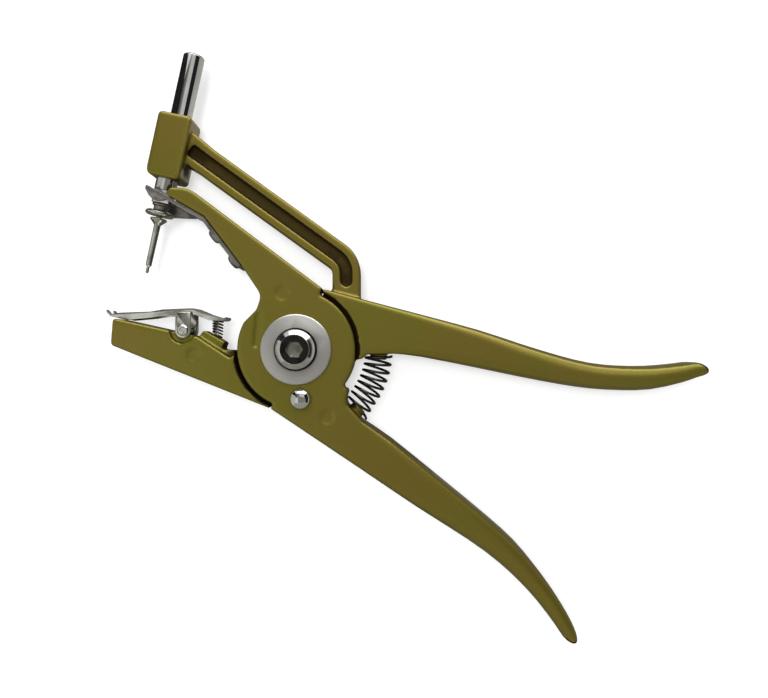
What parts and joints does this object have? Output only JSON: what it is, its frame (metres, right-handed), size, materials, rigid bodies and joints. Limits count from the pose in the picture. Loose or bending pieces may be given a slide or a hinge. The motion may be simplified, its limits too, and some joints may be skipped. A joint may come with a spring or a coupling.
{
  "type": "ear tag applicator",
  "caption": "Cast pliers whose squeezed handle drives a guided needle down through a slotted lower jaw, where a sprung clip holds the tag.",
  "frame": {"origin": "on the pivot axis, at the back face of the pivot nut", "axes": "+X along the upper handle, from the pivot to its end; +Y across the tool towards the guide block; +Z along the pivot axis, out of the front face"},
  "size_m": [0.2534, 0.2495, 0.029],
  "materials": {
    "paint": "satin olive-gold paint on a casting",
    "chromed_steel": "polished",
    "turned_steel": "turned, fine rings",
    "dark_steel": "polished dark",
    "plain_steel": "plain, slightly dull",
    "nickel": "nickel plated",
    "black_wire": "blackened wire",
    "bright_wire": "bright wire"
  },
  "bodies": {
    "frame": {"frame_casting": "paint", "pivot_bolt": "dark_steel", "pivot_nut": "turned_steel", "front_washer": "turned_steel", "rear_washer": "turned_steel", "thrust_washer": "plain_steel", "clip_pin": "nickel", "main_spring": "black_wire", "clip_spring": "bright_wire"},
    "lever": {"drive_lever": "paint", "stop_pin": "chromed_steel", "fork_plate": "plain_steel", "fork_screw_upper": "plain_steel", "fork_screw_lower": "plain_steel"},
    "plunger": {"plunger_rod": "chromed_steel", "needle_holder": "plain_steel", "holder_collar": "nickel", "needle": "nickel"},
    "clip": {"clip_lever": "nickel", "clip_yoke": "nickel"}
  },
  "joints": [
    {"name": "lever_hinge", "type": "hinge", "parent": "frame", "child": "lever", "pos_m": [0, 0, 0.0133], "axis": [0, 0, 1], "range_deg": [0, 21], "stiffness_Nm_per_rad": 2.5, "springref_deg": -14.32, "deforming": ["main_spring"]},
    {"name": "plunger_slide", "type": "slide", "parent": "frame", "child": "plunger", "axis": [-0.2147, -0.9767, 0], "range_m": [0, 0.0276]},
    {"name": "clip_hinge", "type": "hinge", "parent": "frame", "child": "clip", "pos_m": [-0.04718, 0.00802, 0.0133], "axis": [0, 0, -1], "range_deg": [0, 9], "stiffness_Nm_per_rad": 0.12, "springref_deg": -20.05, "deforming": ["clip_spring"]}
  ],
  "couplings": [
    {"joint": "plunger_slide", "follows": "lever_hinge", "m_per_rad": 0.075049}
  ]
}
